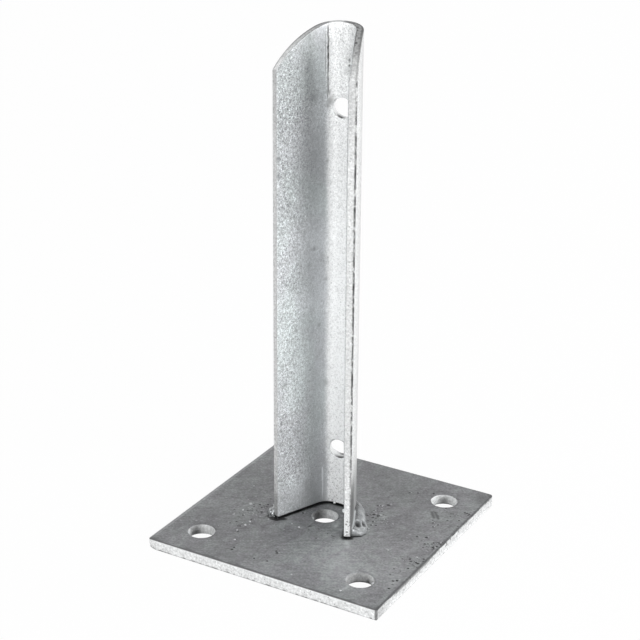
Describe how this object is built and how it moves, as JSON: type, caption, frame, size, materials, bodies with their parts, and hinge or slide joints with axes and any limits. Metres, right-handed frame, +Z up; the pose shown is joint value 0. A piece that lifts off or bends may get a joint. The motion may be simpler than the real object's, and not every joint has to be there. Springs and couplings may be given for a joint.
{
  "type": "post base",
  "caption": "Square base plate with anchor holes and a welded open-channel upright, arched at the top, that a hollow post slides over and is screwed to.",
  "frame": {"origin": "middle of the base plate's underside, on the surface that it is screwed to", "axes": "+Z up along the upright, X along the plate's side and across the channel, -Y out of the channel's open side"},
  "size_m": [0.1, 0.1, 0.199],
  "materials": {
    "plate_zinc": "hot-dip galvanised flat steel, mottled mid grey with dark pits",
    "upright_zinc": "hot-dip galvanised strip, light grey with fine grain",
    "weld_zinc": "galvanised fillet weld, bright and lumpy"
  },
  "bodies": {
    "root": {"base_plate": "plate_zinc", "upright": "upright_zinc", "weld_bead": "weld_zinc"}
  },
  "joints": []
}
